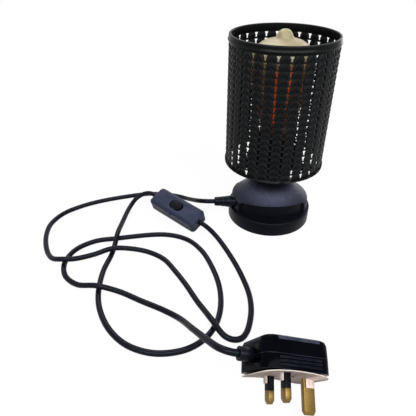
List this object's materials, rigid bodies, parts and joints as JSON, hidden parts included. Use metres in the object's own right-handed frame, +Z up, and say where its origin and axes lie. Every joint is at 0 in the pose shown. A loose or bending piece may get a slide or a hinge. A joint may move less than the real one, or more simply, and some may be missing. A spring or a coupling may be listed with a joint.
{
  "type": "table lamp",
  "caption": "Small table lamp with a flared base, an openwork cylinder shade of knitted look, an amber bulb, a flex with an in-line rocker switch and a fused plug.",
  "frame": {"origin": "centre of the base's underside, on the table", "axes": "+Z up the lamp's axis, +X to the right in the picture, +Y away from the picture's camera; the flex leaves the base along -X"},
  "size_m": [0.2883, 0.2935, 0.1937],
  "materials": {
    "base_paint": "satin blue-black paint",
    "shade_paint": "matt black paint",
    "plate_steel": "satin dark grey",
    "screw_steel": "zinc plated",
    "brass": "bare brass",
    "cream_plastic": "moulded",
    "black_plastic": "moulded satin",
    "switch_plastic": "moulded gloss",
    "plug_plastic": "moulded gloss",
    "flex": "smooth black sheath",
    "wire": "insulated cores",
    "porcelain": "glazed",
    "amber_glass": "clear amber tint",
    "stem_glass": "clear",
    "filament": "orange coated",
    "fuse_body": "plain",
    "card": "thin printed card"
  },
  "bodies": {
    "lamp": {"base_plate": "plate_steel", "base_cover": "base_paint", "base_screws": "screw_steel", "terminal_block": "cream_plastic", "terminal_tubes": "brass", "terminal_screws": "screw_steel", "cord_clamp": "cream_plastic", "clamp_screws": "screw_steel", "flex_tail": "flex", "core_wires": "wire", "strain_relief": "flex", "holder_body": "black_plastic", "holder_screws": "screw_steel", "socket_insulator": "porcelain", "screw_shell": "brass", "centre_contact": "brass", "shade_wall": "shade_paint", "shade_top_rim": "shade_paint", "shade_carrier": "shade_paint", "shade_ring": "black_plastic", "switch_lower_shell": "switch_plastic", "switch_upper_shell": "switch_plastic", "switch_terminals": "brass", "switch_terminal_screws": "screw_steel", "neutral_link": "brass", "switch_screws": "screw_steel", "plug_base": "plug_plastic", "plug_cover": "plug_plastic", "neutral_pin": "brass", "line_pin": "brass", "earth_pin": "brass", "pin_sleeves": "black_plastic", "fuse": "fuse_body", "fuse_clips": "brass", "plug_terminal_screws": "screw_steel", "cord_grip": "cream_plastic", "grip_screws": "screw_steel", "cover_screw": "screw_steel", "plug_cord_sleeve": "flex", "wiring_card": "card", "cord_to_switch": "flex", "cord_to_plug": "flex"},
    "bulb": {"bulb_glass": "amber_glass", "bulb_cap": "brass", "cap_insulator": "black_plastic", "cap_contact": "screw_steel", "bulb_stem": "stem_glass", "filaments": "filament", "filament_wires": "screw_steel"},
    "rocker": {"switch_rocker": "black_plastic", "moving_contact": "brass"}
  },
  "joints": [
    {"name": "bulb_lift", "type": "slide", "parent": "lamp", "child": "bulb", "axis": [0, 0, 1], "range_m": [0, 0.135]},
    {"name": "rocker_tilt", "type": "hinge", "parent": "lamp", "child": "rocker", "pos_m": [-0.10077, -0.0174, 0.01806], "axis": [0.6192, 0.7078, 0.3401], "range_deg": [0, 16]}
  ]
}
